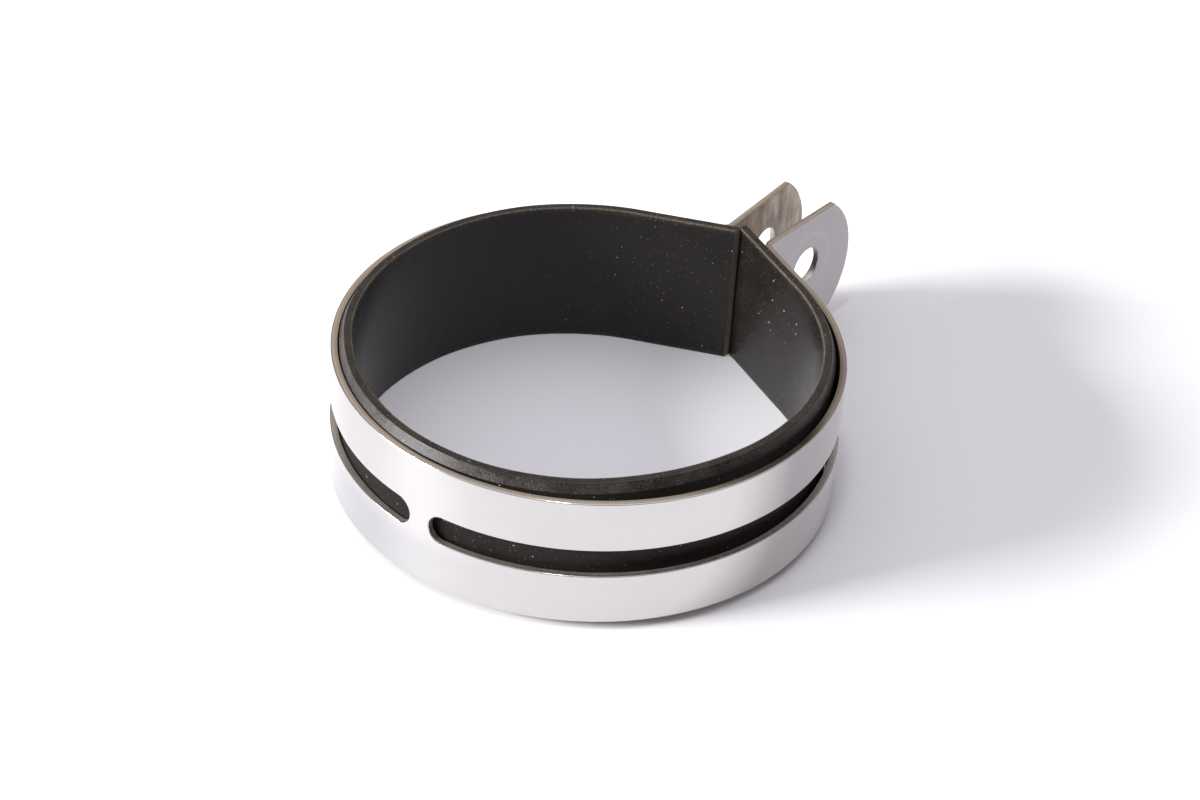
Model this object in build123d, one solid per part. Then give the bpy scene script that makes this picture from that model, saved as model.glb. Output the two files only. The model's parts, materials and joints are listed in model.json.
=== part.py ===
from build123d import *
import os
from math import acos, atan2, cos, degrees, radians, sin, sqrt

# A lined band clamp for a round pipe or silencer, in millimetres. One stainless strip is bent
# into a ring with an upright ear at each end, and one rubber strip lies inside it.
# +Z is the ring's axis. The origin is on that axis, level with the liner's lower edge, on which
# the clamp stands. The mouth between the ears faces +Y. Left is -X and right is +X.

# Strap
STRAP_WIDTH = 30.0
STRAP_THICKNESS = 1.5
STRAP_OUTER_RADIUS = 54.0
RUN_ANGLE = 25.0          # the ring turns into a straight run this far either side of the mouth
BEND_RADIUS = 1.5         # inside radius of the bend from a run into its ear

# Ears
EAR_HALF_GAP = 4.5        # from the mouth's middle plane to an ear's inner face, at the next value
EAR_GAP_Y = 58.0
EAR_SPLAY = 2.5           # each ear leans away from the middle plane by this angle
EAR_TIP_Y = 87.7
EAR_END_RADIUS = 19.0
BOLT_HOLE_RADIUS = 4.5    # clearance for an M8 bolt
BOLT_HOLE_Y = 71.5
BOLT_HOLE_ABOVE_MIDDLE = 2.4

# The slot in each half of the strap: degrees round from the point opposite the mouth, + towards +X
SLOT_WIDTH = 6.5
LEFT_SLOT = (-130.0, -3.0)
RIGHT_SLOT = (2.3, 130.0)

# Liner
LINER_WIDTH = 34.0
LINER_THICKNESS = 2.8
LINER_CLEARANCE = 0.4     # between the liner's back and the strap
LINER_CHAMFER_IN = 1.0    # the outer corners are cut back this far across the edge
LINER_CHAMFER_DOWN = 2.0  # and this far down the back
LINER_JOINT_X = -1.3      # the two ends butt here, a little to the left of the mouth's middle
LINER_JOINT_GAP = 0.2

# The strap and the liner are each in two halves, which meet opposite the mouth, where the
# ring flexes. The gaps there let the halves turn about an axis in the middle of the strip.
STRAP_SEAM_GAP = 0.2
LINER_SEAM_GAP = 0.4
OPEN_ANGLE = 8.0

MIDDLE_Z = LINER_WIDTH / 2
STRAP_INNER_RADIUS = STRAP_OUTER_RADIUS - STRAP_THICKNESS
LINER_OUTER_RADIUS = STRAP_INNER_RADIUS - LINER_CLEARANCE
LINER_INNER_RADIUS = LINER_OUTER_RADIUS - LINER_THICKNESS
HINGE_Y = -(STRAP_OUTER_RADIUS + STRAP_INNER_RADIUS) / 2
RUN_START = 90.0 - RUN_ANGLE   # degrees from +X to the right run's start, and the run's normal
ARC_MIDDLE = (RUN_START - 90.0) / 2


def at(radius, angle):
    """A point in plan, by its distance from the axis and its angle in degrees from +X."""
    return Vector(radius * cos(radians(angle)), radius * sin(radians(angle)))


def seam_angle(radius, gap):
    """Where a circle of this radius meets the right half's face at the seam."""
    return -degrees(acos(gap / 2 / radius))


def on_run(radius, x):
    """The point at x on the straight run that continues a circle of this radius."""
    return Vector(x, (radius - x * cos(radians(RUN_START))) / sin(radians(RUN_START)))


def ring_arc(radius, gap):
    """The right half's arc, from the seam to the start of the straight run."""
    return ThreePointArc(
        at(radius, seam_angle(radius, gap)), at(radius, ARC_MIDDLE), at(radius, RUN_START)
    )


def bend_centre():
    """Centre of the bend that joins the right run to the right ear, and the ear's normal angle."""
    run, ear = radians(RUN_START), radians(-EAR_SPLAY)
    from_run = STRAP_OUTER_RADIUS + BEND_RADIUS
    inner_face = EAR_HALF_GAP * cos(ear) + EAR_GAP_Y * sin(ear)
    from_ear = inner_face + STRAP_THICKNESS + BEND_RADIUS
    across = sin(ear - run)
    x = (from_run * sin(ear) - from_ear * sin(run)) / across
    y = (from_ear * cos(run) - from_run * cos(ear)) / across
    return Vector(x, y)


def strap_plan():
    """The right half of the strap seen from above, its ear longer than needed."""
    centre = bend_centre()
    bend_middle = (RUN_START - EAR_SPLAY) / 2
    ear_length = EAR_TIP_Y - centre.Y + STRAP_THICKNESS
    along_ear = at(ear_length, 90.0 - EAR_SPLAY)
    sides = []
    for radius, bend in (
        (STRAP_OUTER_RADIUS, BEND_RADIUS),
        (STRAP_INNER_RADIUS, BEND_RADIUS + STRAP_THICKNESS),
    ):
        bend_start = centre - at(bend, RUN_START)
        bend_end = centre - at(bend, -EAR_SPLAY)
        ear_end = bend_end + along_ear
        sides.append(
            [
                ring_arc(radius, STRAP_SEAM_GAP),
                Line(at(radius, RUN_START), bend_start),
                ThreePointArc(bend_start, centre - at(bend, bend_middle), bend_end),
                Line(bend_end, ear_end),
            ]
        )
    outer, inner = sides
    caps = [Line(outer[0] @ 0, inner[0] @ 0), Line(outer[-1] @ 1, inner[-1] @ 1)]
    return make_face(outer + inner + caps)


def ear_outline():
    """A block that holds all of the strap up to the ears' rounded ends."""
    half = STRAP_WIDTH / 2
    arc_y = EAR_TIP_Y - EAR_END_RADIUS
    straight_end = arc_y + sqrt(EAR_END_RADIUS**2 - half**2)
    tip = (EAR_TIP_Y, 0)
    reach = 2 * STRAP_OUTER_RADIUS
    outline = Polyline(
        (straight_end, half), (-reach, half), (-reach, -half), (straight_end, -half)
    )
    end = ThreePointArc((straight_end, -half), tip, (straight_end, half))
    side = Plane(origin=(-reach, 0, MIDDLE_Z), x_dir=(0, 1, 0), z_dir=(1, 0, 0))
    return extrude(side * make_face([*outline.edges(), end]), 2 * reach)


def slot_cutter(start, end):
    """A slot with round ends, cut square through the strap between two angles from the seam."""
    end_angle = degrees(SLOT_WIDTH / 2 / STRAP_OUTER_RADIUS)
    first, last = start + end_angle - 90.0, end - end_angle - 90.0
    depth = 3 * STRAP_THICKNESS
    middle_radius = (STRAP_OUTER_RADIUS + STRAP_INNER_RADIUS) / 2
    section = Plane.XZ * Pos(middle_radius, MIDDLE_Z) * Rectangle(depth, SLOT_WIDTH)
    cutter = Rot(0, 0, first) * revolve(section, Axis.Z, last - first)
    for angle in (first, last):
        centre = at(middle_radius, angle) + Vector(0, 0, MIDDLE_Z)
        drill = Plane(origin=centre, z_dir=at(1, angle)) * Cylinder(SLOT_WIDTH / 2, depth)
        cutter += drill
    return cutter


def strap_half(slot, mirrored):
    """One half of the strap with its ear, bolt hole and slot."""
    blank = Pos(0, 0, MIDDLE_Z - STRAP_WIDTH / 2) * extrude(strap_plan(), STRAP_WIDTH)
    hole = Pos(0, BOLT_HOLE_Y, MIDDLE_Z + BOLT_HOLE_ABOVE_MIDDLE) * Rot(0, 90, 0)
    blank = blank & ear_outline()
    blank -= hole * Cylinder(BOLT_HOLE_RADIUS, STRAP_OUTER_RADIUS)
    if mirrored:
        blank = mirror(blank, about=Plane.YZ)
    return blank - slot_cutter(*slot)


def liner_half(end_x, mirrored):
    """One half of the liner, whose end at the mouth is at end_x before any mirroring."""
    sides = []
    for radius in (LINER_OUTER_RADIUS, LINER_INNER_RADIUS):
        run = Line(at(radius, RUN_START), on_run(radius, end_x))
        sides.append([ring_arc(radius, LINER_SEAM_GAP), run])
    outer, inner = sides
    caps = [Line(outer[0] @ 0, inner[0] @ 0), Line(outer[-1] @ 1, inner[-1] @ 1)]
    strip = extrude(make_face(outer + inner + caps), LINER_WIDTH)
    for z, top in ((LINER_WIDTH, True), (0.0, False)):
        rim = strip.faces().sort_by(Axis.Z)[-1 if top else 0]
        back = [e for e in rim.edges() if on_back(e @ 0.5)]
        strip = chamfer(back, LINER_CHAMFER_IN, LINER_CHAMFER_DOWN, reference=rim)
    return mirror(strip, about=Plane.YZ) if mirrored else strip


def on_back(point):
    """Whether a point in plan is on the right half of the liner's back."""
    on_arc = degrees(atan2(point.Y, point.X)) < RUN_START
    across = point.X * cos(radians(RUN_START)) + point.Y * sin(radians(RUN_START))
    distance = sqrt(point.X**2 + point.Y**2) if on_arc else across
    return abs(distance - LINER_OUTER_RADIUS) < 0.01


parts = {
    "strap_left_half": strap_half(LEFT_SLOT, True),
    "strap_right_half": strap_half(RIGHT_SLOT, False),
    "liner_left_half": liner_half(-LINER_JOINT_X + LINER_JOINT_GAP / 2, True),
    "liner_right_half": liner_half(LINER_JOINT_X + LINER_JOINT_GAP / 2, False),
}

os.makedirs("parts", exist_ok=True)
for name, shape in parts.items():
    export_step(shape, f"parts/{name}.step")
    box = shape.bounding_box()
    print(name, "box", box.min, box.max)
print("hinge axis at y", HINGE_Y, "opens by", OPEN_ANGLE)
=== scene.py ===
import json
from math import acos, atan2, ceil, cos, pi, radians, sin, sqrt, tan

import bpy
import numpy as np
from mathutils import Matrix, Vector
from mathutils.geometry import delaunay_2d_cdt


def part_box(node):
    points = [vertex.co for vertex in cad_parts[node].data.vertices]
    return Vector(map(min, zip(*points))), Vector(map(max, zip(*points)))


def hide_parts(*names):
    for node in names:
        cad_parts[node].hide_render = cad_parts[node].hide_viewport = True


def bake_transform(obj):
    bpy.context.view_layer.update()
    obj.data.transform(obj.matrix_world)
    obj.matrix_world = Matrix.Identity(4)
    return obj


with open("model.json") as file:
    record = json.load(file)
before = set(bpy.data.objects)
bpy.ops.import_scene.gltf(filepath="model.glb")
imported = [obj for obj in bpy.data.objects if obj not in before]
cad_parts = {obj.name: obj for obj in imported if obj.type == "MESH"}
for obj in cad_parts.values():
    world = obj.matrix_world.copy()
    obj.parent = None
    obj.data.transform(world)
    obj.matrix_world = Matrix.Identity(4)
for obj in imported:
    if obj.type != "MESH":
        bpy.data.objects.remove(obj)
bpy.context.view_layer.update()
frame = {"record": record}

# ---------------------------------------------------------------- sizes, in metres
# The frame gives the envelope and the mounts. What it doesn't say is named here.
MM = 0.001
mounts = {m["name"]: m for m in frame["record"]["mounts"]}
strap_low, strap_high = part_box("strap_right_half")
liner_low, liner_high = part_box("liner_right_half")

STRAP_THICKNESS = 1.5 * MM
STRAP_WIDTH = strap_high.z - strap_low.z
STRAP_OUTER_RADIUS = strap_high.x
MID_RADIUS = STRAP_OUTER_RADIUS - STRAP_THICKNESS / 2
RUN_NORMAL = radians(65)       # the ring runs straight from here to the bend into the ear
EAR_SPLAY = radians(2.5)
EAR_HALF_GAP = 4.5 * MM        # at EAR_GAP_Y
EAR_GAP_Y = 58 * MM
BEND_RADIUS = 1.5 * MM         # inside the bend, on the strap's outer face
EAR_END_RADIUS = 19 * MM
EAR_CORNER_RADIUS = 0.6 * MM
OUTER_EDGE_RADIUS = 0.25 * MM  # polishing has rounded the outer face's edges
INNER_EDGE_RADIUS = 0.12 * MM
OUTER_EDGE_STEPS, INNER_EDGE_STEPS = 5, 3      # faces round each rounded edge

SLOT_WIDTH = 6.5 * MM
SLOTS = [(-130.0, -3.0), (2.3, 130.0)]   # degrees round from the seam
BOLT_HOLE = mounts["bolt_hole"]

LINER_WIDTH = liner_high.z - liner_low.z
LINER_THICKNESS = 2.8 * MM
LINER_BORE = mounts["pipe_seat"]["dims"]["r_mm"] * MM
CHAMFER_IN = 1.0 * MM
CHAMFER_DOWN = 2.0 * MM
JOINT_X = -1.3 * MM            # the liner's ends butt here
JOINT_GAP = 0.1 * MM
# The liner's corners are rounded: beside the bore, at the bevel's top and at its foot
BORE_ROUNDING, BEVEL_TOP_ROUNDING, BEVEL_FOOT_ROUNDING = 0.25 * MM, 0.2 * MM, 0.35 * MM

STEP = 1.2 * MM                # spacing of vertices along the strips
STRAP_ROWS = 9                 # rows of vertices across the strap, its edges among them
SIDE_PARTS = 8                 # stretches across each long side of the liner's section
LONG_SIDE = 6 * MM             # what counts as one of those
CORNER_POINTS = 4              # points round each of the section's corners
ARC_STEP = radians(7)          # the most that an arc of an outline turns between vertices
CLEAR = 0.45 * STEP            # inner vertices keep this far from the outlines
END_LEAN = 8                   # sections over which the liner's ends ease into their square cut


# ---------------------------------------------------------------- the strip's path in plan
def towards(angle):
    return np.array([cos(angle), sin(angle)])


def bend_centre():
    """Centre of the bend between the right run and the right ear."""
    from_run = STRAP_OUTER_RADIUS + BEND_RADIUS
    ear = -EAR_SPLAY
    inner_face = EAR_HALF_GAP * cos(ear) + EAR_GAP_Y * sin(ear)
    from_ear = inner_face + STRAP_THICKNESS + BEND_RADIUS
    normals = np.array([towards(RUN_NORMAL), towards(ear)])
    return np.linalg.solve(normals, [from_run, from_ear])


BEND_CENTRE = bend_centre()
BEND_MID_RADIUS = BEND_RADIUS + STRAP_THICKNESS / 2
ARC_END = MID_RADIUS * (RUN_NORMAL + pi / 2)
RUN_ALONG = towards(RUN_NORMAL + pi / 2)
RUN_END = ARC_END + float((BEND_CENTRE - MID_RADIUS * towards(RUN_NORMAL)) @ RUN_ALONG)
BEND_END = RUN_END + BEND_MID_RADIUS * (RUN_NORMAL + EAR_SPLAY)
EAR_ALONG = towards(pi / 2 - EAR_SPLAY)
EAR_START = BEND_CENTRE - BEND_MID_RADIUS * towards(-EAR_SPLAY)


def along_ear(y):
    """Distance along the strip, from the seam, of the point of the ear at y."""
    return BEND_END + (y - EAR_START[1]) / EAR_ALONG[1]


def path(s, bends=True):
    """Points, tangents and outward normals in plan at distances s from the seam, + to the right.
    With bends False the path runs straight on past the bend, as the liner does."""
    side = np.where(s < 0, -1.0, 1.0)
    d = np.abs(s)
    point = np.zeros((len(d), 2))
    angle = np.zeros(len(d))    # of the outward normal
    arc = d <= ARC_END
    angle[arc] = d[arc] / MID_RADIUS - pi / 2
    point[arc] = MID_RADIUS * np.stack([np.cos(angle[arc]), np.sin(angle[arc])], 1)
    run = ~arc & ((d <= RUN_END) | (not bends))
    angle[run] = RUN_NORMAL
    point[run] = MID_RADIUS * towards(RUN_NORMAL) + (d[run] - ARC_END)[:, None] * RUN_ALONG
    bend = ~arc & ~run & (d <= BEND_END)
    angle[bend] = RUN_NORMAL - (d[bend] - RUN_END) / BEND_MID_RADIUS
    normal = np.stack([np.cos(angle), np.sin(angle)], 1)
    point[bend] = BEND_CENTRE - BEND_MID_RADIUS * normal[bend]
    ear = ~arc & ~run & ~bend
    angle[ear] = -EAR_SPLAY
    point[ear] = EAR_START + (d[ear] - BEND_END)[:, None] * EAR_ALONG
    normal = np.stack([np.cos(angle), np.sin(angle)], 1)
    forward = np.stack([-normal[:, 1], normal[:, 0]], 1)
    mirror = np.stack([side, np.ones(len(side))], 1)
    tangent = forward * mirror * side[:, None]
    return point * mirror, tangent, normal * mirror


def place(flat, flat_normals, z0, bends=True):
    """Bends points (along, up, out) and their normals from the flat strip to the ring."""
    point, tangent, normal = path(flat[:, 0], bends)
    xy = point + flat[:, 2:3] * normal
    co = np.column_stack([xy, flat[:, 1] + z0])
    nxy = flat_normals[:, 0:1] * tangent + flat_normals[:, 2:3] * normal
    nor = np.column_stack([nxy, flat_normals[:, 1]])
    return co, nor / np.linalg.norm(nor, axis=1)[:, None]


# ---------------------------------------------------------------- outlines of the flat strap
POLISHED, SHEARED, DULL = range(3)    # the strap's materials, in the order of its slots


def line(a, b, normal):
    """Points from a towards b, b left out, all with one normal."""
    a, b = np.array(a), np.array(b)
    count = max(1, ceil(np.linalg.norm(b - a) / STEP))
    t = np.arange(count)[:, None] / count
    return np.hstack([a + t * (b - a), np.tile(normal, (count, 1))])


def arc(centre, radius, start, end, hole=False):
    """Points of an arc, its end left out. The normals point out of the metal."""
    turn = abs(end - start)
    count = max(3, ceil(turn / ARC_STEP), ceil(turn * radius / STEP))
    a = start + np.arange(count) / count * (end - start)
    out = np.stack([np.cos(a), np.sin(a)], 1)
    return np.hstack([np.array(centre) + radius * out, -out if hole else out])


def strap_outline():
    """The strip's outer outline, anticlockwise, with a round end at each ear."""
    half = STRAP_WIDTH / 2
    centre = along_ear(strap_high.y - EAR_END_RADIUS)
    rise = half - EAR_CORNER_RADIUS
    reach = sqrt((EAR_END_RADIUS - EAR_CORNER_RADIUS) ** 2 - rise**2)
    corner = atan2(rise, reach)
    x = centre + reach
    low, high = half - rise, half + rise
    return np.vstack(
        [
            line((-x, 0), (x, 0), (0, -1)),
            arc((x, low), EAR_CORNER_RADIUS, -pi / 2, -corner),
            arc((centre, half), EAR_END_RADIUS, -corner, corner),
            arc((x, high), EAR_CORNER_RADIUS, corner, pi / 2),
            line((x, 2 * half), (-x, 2 * half), (0, 1)),
            arc((-x, high), EAR_CORNER_RADIUS, pi / 2, pi - corner),
            arc((-centre, half), EAR_END_RADIUS, pi - corner, pi + corner),
            arc((-x, low), EAR_CORNER_RADIUS, pi + corner, 3 * pi / 2),
        ]
    )


def slot_outline(start, end):
    """A round-ended slot, from and to angles in degrees round from the seam."""
    r = SLOT_WIDTH / 2
    middle = STRAP_WIDTH / 2
    a = radians(start) * MID_RADIUS + r
    b = radians(end) * MID_RADIUS - r
    return np.vstack(
        [
            line((a, middle - r), (b, middle - r), (0, 1)),
            arc((b, middle), r, -pi / 2, pi / 2, hole=True),
            line((b, middle + r), (a, middle + r), (0, -1)),
            arc((a, middle), r, pi / 2, 3 * pi / 2, hole=True),
        ]
    )


def bolt_outline(side):
    centre = (side * along_ear(BOLT_HOLE["pos_m"][1]), BOLT_HOLE["pos_m"][2] - strap_low.z)
    return arc(centre, BOLT_HOLE["dims"]["r_mm"] * MM, 0, 2 * pi, hole=True)


def inside(points, outline):
    """Which points lie within a closed outline."""
    x, y = points[:, 0:1], points[:, 1:2]
    x1, y1 = outline[:, 0], outline[:, 1]
    x2, y2 = np.roll(x1, -1), np.roll(y1, -1)
    crosses = (y1 > y) != (y2 > y)
    with np.errstate(divide="ignore", invalid="ignore"):
        at = x1 + (y - y1) / (y2 - y1) * (x2 - x1)
    return (crosses & (x < at)).sum(1) % 2 == 1


def face_triangles(outer, holes):
    """Triangulates the flat face between the outlines, with a grid of points inside it. Gives
    those points and the triangles, which number the outlines' points first."""
    loops = [outer, *holes]
    points = np.vstack([loop[:, :2] for loop in loops])
    edges, start = [], 0
    for loop in loops:
        ids = np.arange(len(loop)) + start
        edges += list(zip(ids.tolist(), np.roll(ids, -1).tolist()))
        start += len(loop)
    reach = np.abs(outer[:, 0]).max()
    columns = np.arange(-reach, reach, STEP)
    rows = np.linspace(0, STRAP_WIDTH, STRAP_ROWS)[1:-1]
    grid = np.array([(x, y) for x in columns for y in rows])
    keep = inside(grid, outer)
    for hole in holes:
        keep &= ~inside(grid, hole)
    grid = grid[keep]
    gap = np.full(len(grid), np.inf)
    for point in points:
        gap = np.minimum(gap, np.linalg.norm(grid - point, axis=1))
    grid = grid[gap > CLEAR]
    everything = np.vstack([points, grid]) / MM
    coords = [Vector((float(x), float(y))) for x, y in everything]
    got, _, faces, origins, _, _ = delaunay_2d_cdt(coords, edges, [], 0, 1e-6)
    index = [o[0] for o in origins]
    assert len(got) == len(coords) and all(len(o) == 1 for o in origins)
    tris = np.array([[index[v] for v in f] for f in faces])
    middles = everything[tris].mean(1) * MM
    keep = inside(middles, outer)
    for hole in holes:
        keep &= ~inside(middles, hole)
    return grid, tris[keep]


def strap_profile():
    """The rounded edge as (inset, out, share of the outline's normal, share of the out normal)."""
    half = STRAP_THICKNESS / 2
    rows = []
    for radius, side, steps in (
        (INNER_EDGE_RADIUS, -1, INNER_EDGE_STEPS),
        (OUTER_EDGE_RADIUS, 1, OUTER_EDGE_STEPS),
    ):
        angles = np.linspace(0, pi / 2, steps + 1)
        ring = [
            (radius * (1 - cos(a)), side * (half - radius + radius * sin(a)), cos(a), side * sin(a))
            for a in angles
        ]
        rows += ring[::-1] if side < 0 else ring
    return rows


def build_strap():
    """The strap in one piece: flat outlines with rounded edges, triangulated faces, then bent."""
    loops = [strap_outline()]
    loops += [slot_outline(a, b) for a, b in SLOTS]
    loops += [bolt_outline(-1), bolt_outline(1)]
    profile = strap_profile()
    flat, normals, quads, marks = [], [], [], []
    rims = [[], []]
    rim_ids = [[], []]
    base = 0
    for number, loop in enumerate(loops):
        count = len(loop)
        for row, (inset, out, sideways, outwards) in enumerate(profile):
            xy = loop[:, :2] - inset * loop[:, 2:]
            flat.append(np.column_stack([xy, np.full(count, out)]))
            normals.append(
                np.column_stack([loop[:, 2:] * sideways, np.full(count, outwards)])
            )
            ids = base + row * count + np.arange(count)
            if row in (0, len(profile) - 1):
                rims[row > 0].append(np.hstack([xy, loop[:, 2:]]))
                rim_ids[row > 0].append(ids)
            if row:
                below = ids - count
                quad = np.stack([below, np.roll(below, -1), np.roll(ids, -1), ids], 1)
                quads.append(quad if number == 0 else quad[:, ::-1])
                # polished on the outer rounding, sheared on the rest of the edge
                marks += [POLISHED if row > INNER_EDGE_STEPS + 1 else SHEARED] * count
        base += count * len(profile)
    faces = np.vstack(quads).tolist()
    for which, out, material in ((0, -1, DULL), (1, 1, POLISHED)):
        grid, tris = face_triangles(rims[which][0], rims[which][1:])
        ids = np.concatenate([*rim_ids[which], base + np.arange(len(grid))])
        flat.append(np.column_stack([grid, np.full(len(grid), out * STRAP_THICKNESS / 2)]))
        normals.append(np.tile([0.0, 0.0, out], (len(grid), 1)))
        base += len(grid)
        tris = ids[tris]
        faces += (tris if out > 0 else tris[:, ::-1]).tolist()
        marks += [material] * len(tris)
    return np.vstack(flat), np.vstack(normals), faces, marks


def make_mesh(name, co, normals, faces, marks, materials, flat):
    """A smooth-shaded piece with the given normals. Its attribute "strip" holds each point's
    place along, up and out of the flat strip, in metres."""
    mesh = bpy.data.meshes.new(name)
    mesh.from_pydata(co.tolist(), [], faces)
    for material in materials:
        mesh.materials.append(material)
    mesh.polygons.foreach_set("material_index", np.array(marks, np.int32))
    mesh.polygons.foreach_set("use_smooth", np.ones(len(faces), bool))
    strip = mesh.attributes.new("strip", "FLOAT_VECTOR", "POINT")
    strip.data.foreach_set("vector", flat.astype(np.float32).ravel())
    mesh.normals_split_custom_set_from_vertices(normals.tolist())
    mesh.validate()
    piece = bpy.data.objects.new(name, mesh)
    bpy.context.scene.collection.objects.link(piece)
    return piece


# ---------------------------------------------------------------- the liner
# The liner's materials, in the order of its slots. The first covers its rims and bevels too.
BORE_SIDE, CUT_END, BACK = range(3)


def rounded_section():
    """The liner's section as (up, out) points and normals, anticlockwise seen along the strip."""
    inner = LINER_BORE - MID_RADIUS
    outer = inner + LINER_THICKNESS
    w = LINER_WIDTH
    corners = [
        ((0, inner), BORE_ROUNDING),
        ((0, outer - CHAMFER_IN), BEVEL_TOP_ROUNDING),
        ((CHAMFER_DOWN, outer), BEVEL_FOOT_ROUNDING),
        ((w - CHAMFER_DOWN, outer), BEVEL_FOOT_ROUNDING),
        ((w, outer - CHAMFER_IN), BEVEL_TOP_ROUNDING),
        ((w, inner), BORE_ROUNDING),
    ]
    points = []
    for i, (corner, radius) in enumerate(corners):
        before = np.array(corners[i - 1][0])
        after = np.array(corners[(i + 1) % len(corners)][0])
        corner = np.array(corner)
        a = (corner - before) / np.linalg.norm(corner - before)
        b = (after - corner) / np.linalg.norm(after - corner)
        turn = acos(np.clip(a @ b, -1, 1))
        start = corner - a * radius * tan(turn / 2)
        na, nb = np.array([-a[1], a[0]]), np.array([-b[1], b[0]])
        if a[0] * b[1] > a[1] * b[0]:
            na, nb = -na, -nb
        centre = start - na * radius
        for t in np.linspace(0, 1, CORNER_POINTS):
            n = na * (1 - t) + nb * t
            n = n / np.linalg.norm(n)
            points.append(np.concatenate([centre + radius * n, n]))
        # points along the long sides keep the quads even
        if np.linalg.norm(after - corner) > LONG_SIDE:
            for t in np.linspace(0, 1, SIDE_PARTS + 1)[1:-1]:
                points.append(np.concatenate([corner + t * (after - corner), nb]))
    return np.array(points)


# The loose liner lies nearest the strap at the front left, LINER_OUT beyond its nominal place.
# It bellies inwards at the front right, stands in a little farther round to the left, and its
# left end curls in. LINER_MOST_OUT keeps it off the strap. Angles are degrees round from the
# seam, + to the right. A reach is a bulge's spread either side, a fade how gradually it begins.
BELLY, BELLY_AT, BELLY_REACH = 2.61 * MM, 62.5, (36.0, 51.0)
LEFT_IN, LEFT_FROM, LEFT_FADE = 0.2 * MM, -72.0, 8.0
CURL, CURL_AT, CURL_REACH = 0.4 * MM, -190.0, 22.0
LINER_OUT, LINER_MOST_OUT = 0.2 * MM, 0.36 * MM
RIPPLES = ((0.05, 9.0, 0.0), (0.03, 3.7, 1.1))    # height in mm, degrees to a radian, start
BACK_DEPTH = 0.1 * MM          # faces this near the section's outermost line are its back


def liner_shift(s):
    """How far inwards of its nominal place the liner stands, and never out into the strap."""
    a = np.degrees(s / MID_RADIUS)
    reach = np.where(a < BELLY_AT, *BELLY_REACH)
    belly = BELLY * np.exp(-(((a - BELLY_AT) / reach) ** 2))
    left = LEFT_IN / (1 + np.exp((a - LEFT_FROM) / LEFT_FADE))
    curl = CURL * np.exp(-(((a - CURL_AT) / CURL_REACH) ** 2))
    ripple = sum(height * np.sin(a / length + start) for height, length, start in RIPPLES) * MM
    return np.maximum(belly + left + curl + ripple - LINER_OUT, -LINER_MOST_OUT)


def build_liner():
    """The liner in one piece: its section carried along the path, with ends cut square to X."""
    section = rounded_section()
    end_xs = (JOINT_X - JOINT_GAP / 2, JOINT_X + JOINT_GAP / 2)
    ends = []
    run_x = MID_RADIUS * towards(RUN_NORMAL)[0]
    for side, x in zip((-1, 1), end_xs):
        ends.append(side * (ARC_END + (run_x - side * x) / -RUN_ALONG[0]))
    count = ceil((ends[1] - ends[0]) / STEP)
    stations = np.linspace(ends[0], ends[1], count + 1)
    size = len(section)
    flat, normals = [], []
    for s in stations:
        shift = liner_shift(np.array([s]))[0]
        along = np.full(size, s)
        flat.append(np.column_stack([along, section[:, 0], section[:, 1] - shift]))
        normals.append(np.column_stack([np.zeros(size), section[:, 2], section[:, 3]]))
    flat, normals = np.vstack(flat), np.vstack(normals)
    co, nor = place(flat, normals, liner_low.z, bends=False)
    # the two ends are cut square to X, and the sections near them lean over gradually
    for first, x, inward in ((0, end_xs[0], size), (count * size, end_xs[1], -size)):
        rows = slice(first, first + size)
        _, tangent, _ = path(flat[rows, 0], bends=False)
        move = (x - co[rows, 0]) / tangent[:, 0]
        for k in range(END_LEAN):
            rows = slice(first + k * inward, first + k * inward + size)
            co[rows, :2] += (1 - k / END_LEAN) * move[:, None] * tangent
    faces = []
    ids = np.arange(size)
    for k in range(count):
        a, b = k * size + ids, (k + 1) * size + ids
        faces += np.stack([a, b, np.roll(b, -1), np.roll(a, -1)], 1).tolist()
    # caps have their own vertices, so that their edges stay crisp
    base = len(co)
    for first, direction in ((0, 1.0), (count * size, -1.0)):
        co = np.vstack([co, co[first : first + size]])
        flat = np.vstack([flat, flat[first : first + size]])
        nor = np.vstack([nor, np.tile([direction, 0.0, 0.0], (size, 1))])
        ring = list(range(base, base + size))
        faces.append(ring if first == 0 else ring[::-1])
        base += size
    out = section[:, 1]
    on_back = np.minimum(out, np.roll(out, -1)) > out.max() - BACK_DEPTH
    marks = [BACK if back else BORE_SIDE for back in on_back] * count + [CUT_END, CUT_END]
    # the materials' patterns follow the strip itself, wherever it has shifted to
    flat[:, 2] += liner_shift(flat[:, 0])
    return co, nor, faces, marks, flat


# ---------------------------------------------------------------- materials
# Each material is patterned on the attribute "strip": x along, y up and z out, here in mm.
# Colours are linear RGB. Where there are two, the material's pattern blends them.
STEEL = (0.59, 0.577, 0.568), (0.545, 0.532, 0.524)
DIRT_ON_STEEL = (0.25, 0.23, 0.20)
WASHER_MARK = (0.70, 0.70, 0.70)
# painted shade on the lower band
STEEL_IN_PAINTED_SHADE = (0.470, 0.464, 0.474)
BRIGHT_EDGE = (0.80, 0.755, 0.69), (0.70, 0.615, 0.48)    # of a slot or hole, of the outline
TORN_EDGE = (0.66, 0.61, 0.53), (0.46, 0.385, 0.285)
EDGE_MARK = (0.30, 0.26, 0.20)
# painted shade on the outline's edge
PAINTED_EDGE_SHADE = (0.030, 0.023, 0.016)
MILL_STEEL = (0.215, 0.168, 0.132), (0.40, 0.33, 0.275)
STAIN = (0.165, 0.125, 0.095)
RUBBER = (0.0060, 0.0044, 0.0041), (0.0090, 0.0068, 0.0060)
RUBBER_BACK = (0.0055, 0.0044, 0.0041), (0.0085, 0.0070, 0.0063)
RUBBER_CUT = (0.13, 0.102, 0.078), (0.32, 0.27, 0.21)
DUST = (0.125, 0.104, 0.070), (0.125, 0.118, 0.110)       # near the bore, on the bevel
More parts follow.
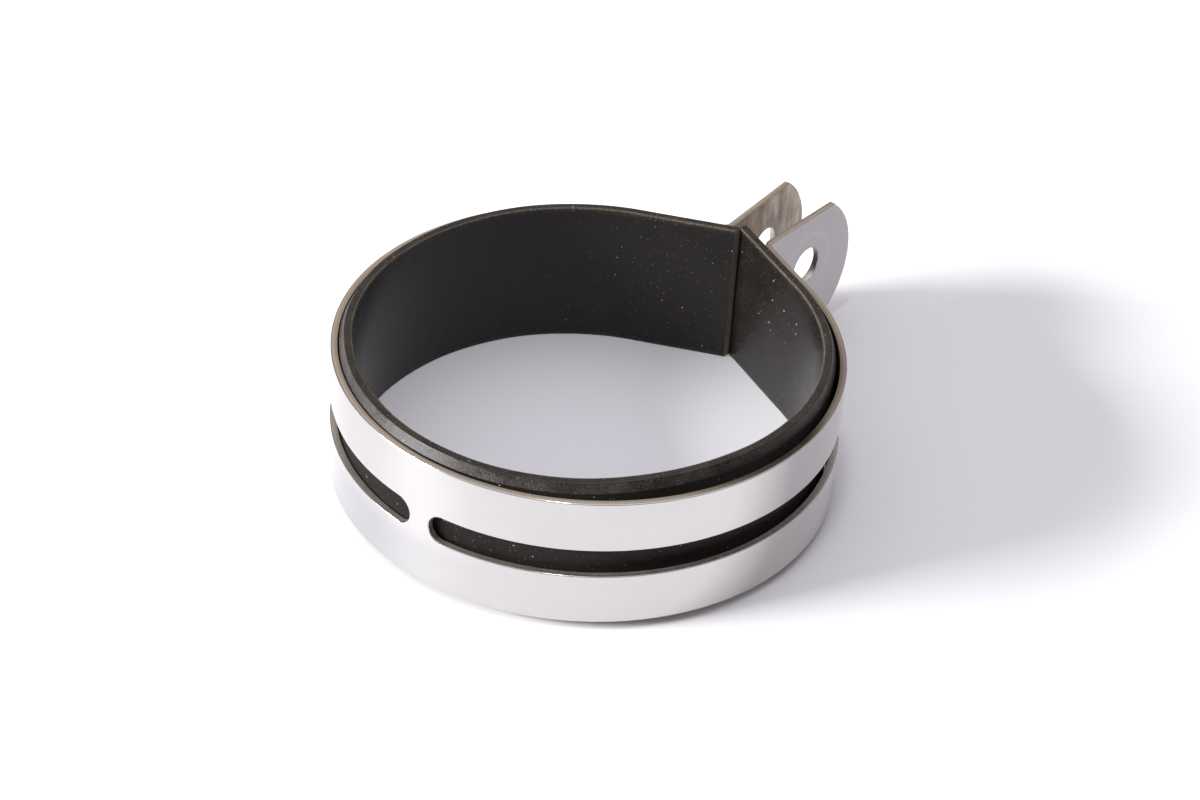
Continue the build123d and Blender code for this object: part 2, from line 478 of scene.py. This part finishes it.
# painted light on the liner's back in the right slot
PAINTED_SLOT_LIGHT = (0.050, 0.045, 0.043)
# scuffing, and a painted highlight, on the bore's corner
SCUFF_AND_HIGHLIGHT = (0.16, 0.138, 0.104)
SPECK, SPECK_IN_SLOT = (0.36, 0.32, 0.25), (0.30, 0.27, 0.21)
PAPER = (0.86, 0.86, 0.87, 1)    # with its alpha


class Surface:
    """A material, with short ways to add shader nodes to it."""

    def __init__(self, name, **fixed):
        self.material = bpy.data.materials.new(name)
        self.material.use_nodes = True
        self.tree = self.material.node_tree
        self.shader = self.tree.nodes["Principled BSDF"]
        for socket, value in fixed.items():
            self.shader.inputs[socket.replace("_", " ")].default_value = value
        strip = self.add("Attribute", attribute_name="strip")
        self.place = self.vector("SCALE", strip.outputs["Vector"], Scale=1 / MM)

    def add(self, kind, **settings):
        made = self.tree.nodes.new("ShaderNode" + kind)
        for name, value in settings.items():
            setattr(made, name, value)
        return made

    def put(self, socket, value):
        """Links another node's output to a socket, or sets the socket's value."""
        if isinstance(value, bpy.types.NodeSocket):
            self.tree.links.new(value, socket)
        else:
            socket.default_value = value

    def vector(self, operation, first, second=None, **more):
        made = self.add("VectorMath", operation=operation)
        self.put(made.inputs[0], first)
        if second is not None:
            self.put(made.inputs[1], second)
        for name, value in more.items():
            self.put(made.inputs[name], value)
        return made.outputs[1 if operation in ("LENGTH", "DISTANCE") else 0]

    def math(self, operation, first, second=0.0, clamp=False):
        made = self.add("Math", operation=operation, use_clamp=clamp)
        self.put(made.inputs[0], first)
        self.put(made.inputs[1], second)
        return made.outputs[0]

    def axis(self, name, vector=None):
        made = self.add("SeparateXYZ")
        self.put(made.inputs[0], self.place if vector is None else vector)
        return made.outputs[name]

    def noise(self, size, detail=3.0, roughness=0.55, seed=0.0, vector=None):
        """Noise with grains of about size (along, up, out) in mm."""
        at = self.place if vector is None else vector
        scaled = self.vector("MULTIPLY", at, tuple(1 / v for v in size))
        moved = self.vector("ADD", scaled, (seed, 1.7 * seed, 0.6 * seed))
        made = self.add("TexNoise")
        self.put(made.inputs["Vector"], moved)
        self.put(made.inputs["Scale"], 1.0)
        self.put(made.inputs["Detail"], detail)
        self.put(made.inputs["Roughness"], roughness)
        return made.outputs["Fac"]

    def span(self, value, low, high, to_low=0.0, to_high=1.0, smooth=True):
        """Maps low to high onto the to values, held at both ends."""
        made = self.add("MapRange", interpolation_type="SMOOTHSTEP" if smooth else "LINEAR")
        for socket, number in zip(made.inputs, (value, low, high, to_low, to_high)):
            self.put(socket, number)
        return made.outputs[0]

    def mix(self, share, first, second):
        """A blend of two colours, each a tuple or another node's output."""
        made = self.add("Mix", data_type="RGBA")
        self.put(made.inputs[0], share)
        for socket, colour in ((made.inputs[6], first), (made.inputs[7], second)):
            self.put(socket, (*colour, 1) if isinstance(colour, tuple) else colour)
        return made.outputs[2]

    def specks(self, cell, size, seed):
        """Scattered specks, under one to a cell, laid over the faces and round the edges."""
        split = self.add("SeparateXYZ")
        self.put(split.inputs[0], self.place)
        unrolled = self.add("CombineXYZ")
        self.put(unrolled.inputs["X"], self.math("ADD", split.outputs["X"], seed))
        up = self.math("SUBTRACT", split.outputs["Y"], split.outputs["Z"])
        self.put(unrolled.inputs["Y"], up)
        cells = self.add("TexVoronoi", feature="F1", voronoi_dimensions="2D")
        self.put(cells.inputs["Vector"], unrolled.outputs[0])
        self.put(cells.inputs["Scale"], 1 / cell)
        chance = self.axis("X", cells.outputs["Color"])
        reach = self.math("MULTIPLY", self.span(chance, 0.4, 1.0, smooth=False), size / cell)
        inside = self.math("DIVIDE", cells.outputs["Distance"], self.math("ADD", reach, 1e-4))
        return self.span(inside, 0.6, 1.0, 1.0, 0.0)

    def finish(self, colour=None, roughness=None, bumps=()):
        """Sets the shader's inputs. Each bump is a height, from 0 to 1, and its depth in mm."""
        if colour is not None:
            self.put(self.shader.inputs["Base Color"], colour)
        if roughness is not None:
            self.put(self.shader.inputs["Roughness"], roughness)
        normal = None
        for height, depth in bumps:
            made = self.add("Bump")
            self.put(made.inputs["Strength"], 1.0)
            self.put(made.inputs["Distance"], depth * MM)
            self.put(made.inputs["Height"], height)
            if normal is not None:
                self.put(made.inputs["Normal"], normal)
            normal = made.outputs["Normal"]
        if normal is not None:
            self.put(self.shader.inputs["Normal"], normal)
        return self.material


def polished_steel():
    """Mirror-bright sheet: hair lines left by the mop, smudges, stray scratches, washer marks."""
    s = Surface("polished_stainless", Metallic=1.0)
    hairs = s.noise((55, 0.11, 1), detail=4, seed=3)
    waves = s.noise((28, 9, 5), detail=1, seed=8)
    smudges = s.noise((9, 6, 5), detail=5, roughness=0.65, seed=1)
    slanted = s.add("VectorRotate", rotation_type="Z_AXIS")
    s.put(slanted.inputs["Vector"], s.place)
    s.put(slanted.inputs["Angle"], radians(64))
    scratches = s.span(s.noise((9, 0.07, 1), seed=5, vector=slanted.outputs[0]), 0.73, 0.78)
    specks = s.specks(6.0, 0.14, 7)
    washer = washer_ring(s)
    steel = s.mix(smudges, *STEEL)
    steel = s.mix(s.math("MULTIPLY", specks, 0.5), steel, DIRT_ON_STEEL)
    steel = s.mix(s.math("MULTIPLY", washer, 0.3), steel, WASHER_MARK)
    # painted shade: the band below the left slot is darkened towards its foot, standing in for the
    # shaded floor that it reflects there
    dust_film_and_painted_shade = s.math("MULTIPLY", s.span(s.axis("X"), 28, -15), s.span(s.axis("Y"), 13, 8))
    steel = s.mix(dust_film_and_painted_shade, steel, STEEL_IN_PAINTED_SHADE)
    smudged = s.span(smudges, 0.3, 0.75, 0.08, 0.15)
    roughness = s.math("ADD", smudged, s.span(hairs, 0.3, 0.8, 0, 0.04))
    roughness = s.math("ADD", roughness, s.math("MULTIPLY", scratches, 0.12))
    roughness = s.math("ADD", roughness, s.math("MULTIPLY", washer, 0.12))
    bumps = [(waves, 0.05), (hairs, 0.0012), (scratches, -0.004), (washer, -0.006)]
    return s.finish(steel, roughness, bumps)


def washer_ring(s):
    """The faint ring that a washer has pressed round each bolt hole."""
    centre_x = along_ear(BOLT_HOLE["pos_m"][1]) / MM
    centre_y = (BOLT_HOLE["pos_m"][2] - strap_low.z) / MM
    made = s.add("CombineXYZ")
    s.put(made.inputs["X"], s.math("ABSOLUTE", s.axis("X")))
    s.put(made.inputs["Y"], s.axis("Y"))
    distance = s.vector("DISTANCE", made.outputs[0], (centre_x, centre_y, 0))
    inner = s.span(distance, 7.0, 8.0)
    outer = s.span(distance, 8.0, 9.2, 1.0, 0.0)
    return s.math("MULTIPLY", inner, outer)


def sheared_edge():
    """The strip's cut edges: a bright band and a duller torn one, with marks straight across.
    The slots are punched, so their edges are the smoother and paler."""
    s = Surface("sheared_edge", Metallic=1.0)
    marks = s.noise((0.3, 60, 3), detail=4, roughness=0.65, seed=2)
    patches = s.noise((9, 9, 2), detail=3, seed=6)
    wander = s.span(patches, 0.3, 0.7, -0.12, 0.12)
    torn = s.span(s.math("ADD", s.axis("Z"), wander), 0.15, -0.35)
    from_middle = s.math("ABSOLUTE", s.math("SUBTRACT", s.axis("Y"), STRAP_WIDTH / 2 / MM))
    outline = s.span(from_middle, 4, 12)
    bright = s.mix(outline, *BRIGHT_EDGE)
    dull = s.mix(outline, *TORN_EDGE)
    steel = s.mix(torn, bright, dull)
    steel = s.mix(s.span(marks, 0.3, 0.7, 0.0, 0.25), steel, EDGE_MARK)
    # painted shade darkens the outline's edge towards the front right, and thinly beyond
    along = s.axis("X")
    thick = s.math("MULTIPLY", s.span(along, 44, 76), s.span(along, 86, 102, 1.0, 0.45))
    painted_edge_shade = s.math("MULTIPLY", thick, s.span(along, 112, 134, 1.0, 0.3))
    uneven = s.math("MULTIPLY", outline, s.span(patches, 0.3, 0.7, 0.85, 0.95))
    painted_edge_shade = s.math("MULTIPLY", painted_edge_shade, uneven)
    steel = s.mix(painted_edge_shade, steel, PAINTED_EDGE_SHADE)
    roughness = s.math("ADD", s.span(outline, 0, 1, 0.40, 0.42), s.math("MULTIPLY", torn, 0.08))
    roughness = s.math("ADD", roughness, s.span(marks, 0.35, 0.7, 0.04, -0.04))
    return s.finish(steel, roughness, [(marks, 0.008), (patches, 0.05)])


def dull_steel():
    """The strip's unpolished inner face: mill grey, with stains and wipe marks across the strip."""
    s = Surface("dull_stainless", Metallic=1.0)
    streaks = s.noise((1.3, 16, 5), detail=4, roughness=0.6, seed=4)
    stains = s.noise((4, 7, 5), detail=4, roughness=0.6, seed=9)
    grain = s.noise((0.12, 0.12, 0.12), detail=2)
    steel = s.mix(s.span(streaks, 0.3, 0.7), *MILL_STEEL)
    steel = s.mix(s.span(stains, 0.42, 0.7, 0, 0.6), steel, STAIN)
    stained = s.span(stains, 0.3, 0.7, 0.24, 0.38)
    roughness = s.math("ADD", stained, s.span(grain, 0.3, 0.7, 0, 0.06))
    return s.finish(steel, roughness, [(streaks, 0.012), (stains, 0.03), (grain, 0.003)])


def black_rubber():
    """Extruded strip: fine grain, faint die lines along it, scuffed corners with a painted
    highlight, dust and specks.
    """
    s = Surface("black_rubber", Specular_IOR_Level=0.34)
    grain = s.noise((0.16, 0.16, 0.16), detail=2, seed=1)
    mottle = s.noise((6, 5, 5), detail=4, seed=5)
    lines = s.noise((70, 0.5, 0.5), detail=3, seed=2)
    grit = s.span(s.noise((0.40, 0.40, 0.40), detail=3, roughness=0.7, seed=14), 0.46, 0.62)
    specks = s.math("MAXIMUM", s.specks(1.5, 0.11, 11), s.specks(5.5, 0.26, 23))
    middle = LINER_WIDTH / 2 / MM
    from_middle = s.math("ABSOLUTE", s.math("SUBTRACT", s.axis("Y"), middle))
    from_rim = s.math("SUBTRACT", middle, from_middle)
    from_bore = s.math("SUBTRACT", s.axis("Z"), (LINER_BORE - MID_RADIUS) / MM)
    # the rounded corner between the bore and the rim is scuffed pale, and painted paler as a
    # highlight along it
    corner = s.math("ADD", s.math("ABSOLUTE", from_rim), s.math("ABSOLUTE", from_bore))
    near_corner = s.span(corner, 0.22, 0.50, 1.0, 0.0)
    scuff_and_highlight = s.math("MULTIPLY", near_corner, s.span(grit, 0, 1, 0.35, 1.0))
    # dust lies on the rim, thickest on the bevel behind it, and is a thin film on the bore's side
    patchy = s.span(s.noise((7, 4, 4), detail=5, roughness=0.7, seed=12), 0.35, 0.7, 0.35, 1.0)
    on_rim = s.span(from_rim, 0.05, 1.6, 0.5, 0.05)
    above_foot = s.span(from_rim, 1.9, 2.4, 0.8, 0.0)
    on_bevel = s.math("MULTIPLY", s.span(from_bore, 1.7, 2.0), above_foot)
    dusty = s.math("MAXIMUM", on_rim, on_bevel)
    dust = s.mix(s.span(from_bore, 1.6, 2.0), *DUST)
    # most of the specks are near the mouth, or on the rims and bevels
    near_mouth = s.span(s.math("ABSOLUTE", s.axis("X")), 115, 145, 0.2, 1.0)
    speckled = s.math("MAXIMUM", near_mouth, s.span(from_bore, 0.3, 0.6))
    specks = s.math("MULTIPLY", specks, speckled)
    dust_film_and_painted_shade = s.math("MULTIPLY", s.math("MULTIPLY", patchy, dusty), s.span(grit, 0, 1, 0.45, 1.0))
    colour = s.mix(s.span(mottle, 0.3, 0.7), *RUBBER)
    colour = s.mix(s.math("MULTIPLY", dust_film_and_painted_shade, 0.7, clamp=True), colour, dust)
    colour = s.mix(s.math("MULTIPLY", scuff_and_highlight, 0.6), colour, SCUFF_AND_HIGHLIGHT)
    colour = s.mix(s.math("MULTIPLY", specks, 0.85), colour, SPECK)
    roughness = s.math("ADD", s.span(mottle, 0.3, 0.7, 0.18, 0.26), s.math("MULTIPLY", dust_film_and_painted_shade, 0.5))
    pale = s.math("ADD", specks, scuff_and_highlight)
    roughness = s.math("ADD", roughness, s.math("MULTIPLY", pale, 0.3))
    bumps = [(lines, 0.012), (grain, 0.003), (grit, 0.005), (specks, 0.05)]
    return s.finish(colour, roughness, bumps)


def rubber_back():
    """The liner's back, which shows in the slots and in the gap at the front right: matt, with
    specks of dust blown in."""
    s = Surface("rubber_back", Specular_IOR_Level=0.09)
    grain = s.noise((0.16, 0.16, 0.16), detail=2, seed=1)
    mottle = s.noise((6, 5, 5), detail=4, seed=5)
    specks = s.math("MAXIMUM", s.specks(1.1, 0.11, 11), s.specks(4.0, 0.28, 23))
    colour = s.mix(s.span(mottle, 0.3, 0.7), *RUBBER_BACK)
    # painted light: the liner's back is lightened across the right slot, standing in for the lit
    # floor's light and reflection there
    colour = s.mix(s.span(s.axis("X"), 0, 75, 0.0, 0.85), colour, PAINTED_SLOT_LIGHT)
    colour = s.mix(s.math("MULTIPLY", specks, 0.8), colour, SPECK_IN_SLOT)
    roughness = s.span(mottle, 0.3, 0.7, 0.50, 0.58)
    return s.finish(colour, roughness, [(grain, 0.004), (specks, 0.05)])


def cut_rubber():
    """The liner's knife-cut ends: paler, with the knife's drag marks."""
    s = Surface("cut_rubber", Roughness=0.75)
    drag = s.noise((0.3, 8, 0.25), detail=4, seed=3)
    grain = s.noise((0.2, 0.2, 0.2), detail=3, seed=6)
    colour = s.mix(drag, *RUBBER_CUT)
    return s.finish(colour, None, [(drag, 0.05), (grain, 0.02)])


strap_flat, flat_normals, faces, marks = build_strap()
co, nor = place(strap_flat, flat_normals, strap_low.z)
steels = [polished_steel(), sheared_edge(), dull_steel()]
strap = make_mesh("strap", co, nor, faces, marks, steels, strap_flat)
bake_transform(strap)
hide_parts("strap_left_half", "strap_right_half")

co, nor, faces, marks, liner_flat = build_liner()
rubbers = [black_rubber(), cut_rubber(), rubber_back()]
liner = make_mesh("liner", co, nor, faces, marks, rubbers, liner_flat)
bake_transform(liner)
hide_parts("liner_left_half", "liner_right_half")

# ---------------------------------------------------------------- floor, light and camera
FLOOR_HALF = 6.0
HORIZON = (0.130, 0.100, 0.082)
ZENITH = (1.12, 1.10, 1.21)
HORIZON_ENDS, ZENITH_STARTS = 0.40, 0.95    # upward parts of a direction, from 0 to 1

SENSOR_WIDTH, FOCAL_LENGTH = 36, 99.66      # millimetres
CLIP_START, CLIP_END = 0.05, 50             # metres
CAMERA_PLACE = (0.33303, -0.45838, 0.43350)
CAMERA_RIGHT = (0.786412, 0.615202, 0.055528)
CAMERA_UP = (-0.400158, 0.438907, 0.804509)


def pale_floor():
    """A wide plain sheet for the clamp to stand on."""
    mesh = bpy.data.meshes.new("floor")
    corners = [(-1, -1), (1, -1), (1, 1), (-1, 1)]
    mesh.from_pydata([(x * FLOOR_HALF, y * FLOOR_HALF, 0) for x, y in corners], [], [(0, 1, 2, 3)])
    floor = bpy.data.objects.new("floor", mesh)
    bpy.context.scene.collection.objects.link(floor)
    paper = Surface("pale_floor", Base_Color=PAPER, Roughness=0.6)
    mesh.materials.append(paper.material)
    return floor


def soft_studio():
    """A sky that is bright and bluish overhead, and dim and warm towards the horizon."""
    world = bpy.data.worlds.new("soft_studio")
    bpy.context.scene.world = world
    world.use_nodes = True
    nodes, links = world.node_tree.nodes, world.node_tree.links
    sky = nodes["Background"]
    direction = nodes.new("ShaderNodeTexCoord")
    split = nodes.new("ShaderNodeSeparateXYZ")
    ramp = nodes.new("ShaderNodeValToRGB")
    low, high = ramp.color_ramp.elements
    low.position, high.position = HORIZON_ENDS, ZENITH_STARTS
    low.color, high.color = (*HORIZON, 1), (*ZENITH, 1)
    links.new(direction.outputs["Generated"], split.inputs[0])
    links.new(split.outputs["Z"], ramp.inputs[0])
    links.new(ramp.outputs[0], sky.inputs["Color"])


def area_light(name, azimuth, elevation, distance, width, height, power):
    """A soft rectangular light that faces the origin. Angles in degrees, power in watts."""
    data = bpy.data.lights.new(name, "AREA")
    data.shape = "RECTANGLE"
    data.size, data.size_y, data.energy = width, height, power
    lamp = bpy.data.objects.new(name, data)
    bpy.context.scene.collection.objects.link(lamp)
    level, up = distance * cos(radians(elevation)), distance * sin(radians(elevation))
    lamp.location = (level * cos(radians(azimuth)), level * sin(radians(azimuth)), up)
    lamp.rotation_mode = "QUATERNION"
    lamp.rotation_quaternion = (-lamp.location).to_track_quat("-Z", "Y")


def photo_camera():
    """The camera where the photographer stood, as fitted to the strap's outline."""
    data = bpy.data.cameras.new("camera")
    data.lens = FOCAL_LENGTH
    data.sensor_width = SENSOR_WIDTH
    data.clip_start, data.clip_end = CLIP_START, CLIP_END
    camera = bpy.data.objects.new("camera", data)
    bpy.context.scene.collection.objects.link(camera)
    right, up = Vector(CAMERA_RIGHT), Vector(CAMERA_UP)
    turn = Matrix((right, up, right.cross(up))).transposed().to_4x4()
    camera.matrix_world = Matrix.Translation(CAMERA_PLACE) @ turn
    bpy.context.scene.camera = camera


floor = pale_floor()
soft_studio()
area_light("window", 230, 20, distance=7.0, width=3.0, height=1.6, power=1180)
area_light("ceiling_lamp", 280, 80, distance=1.5, width=0.15, height=0.15, power=2.5)
photo_camera()
bpy.context.scene.view_settings.view_transform = "Standard"
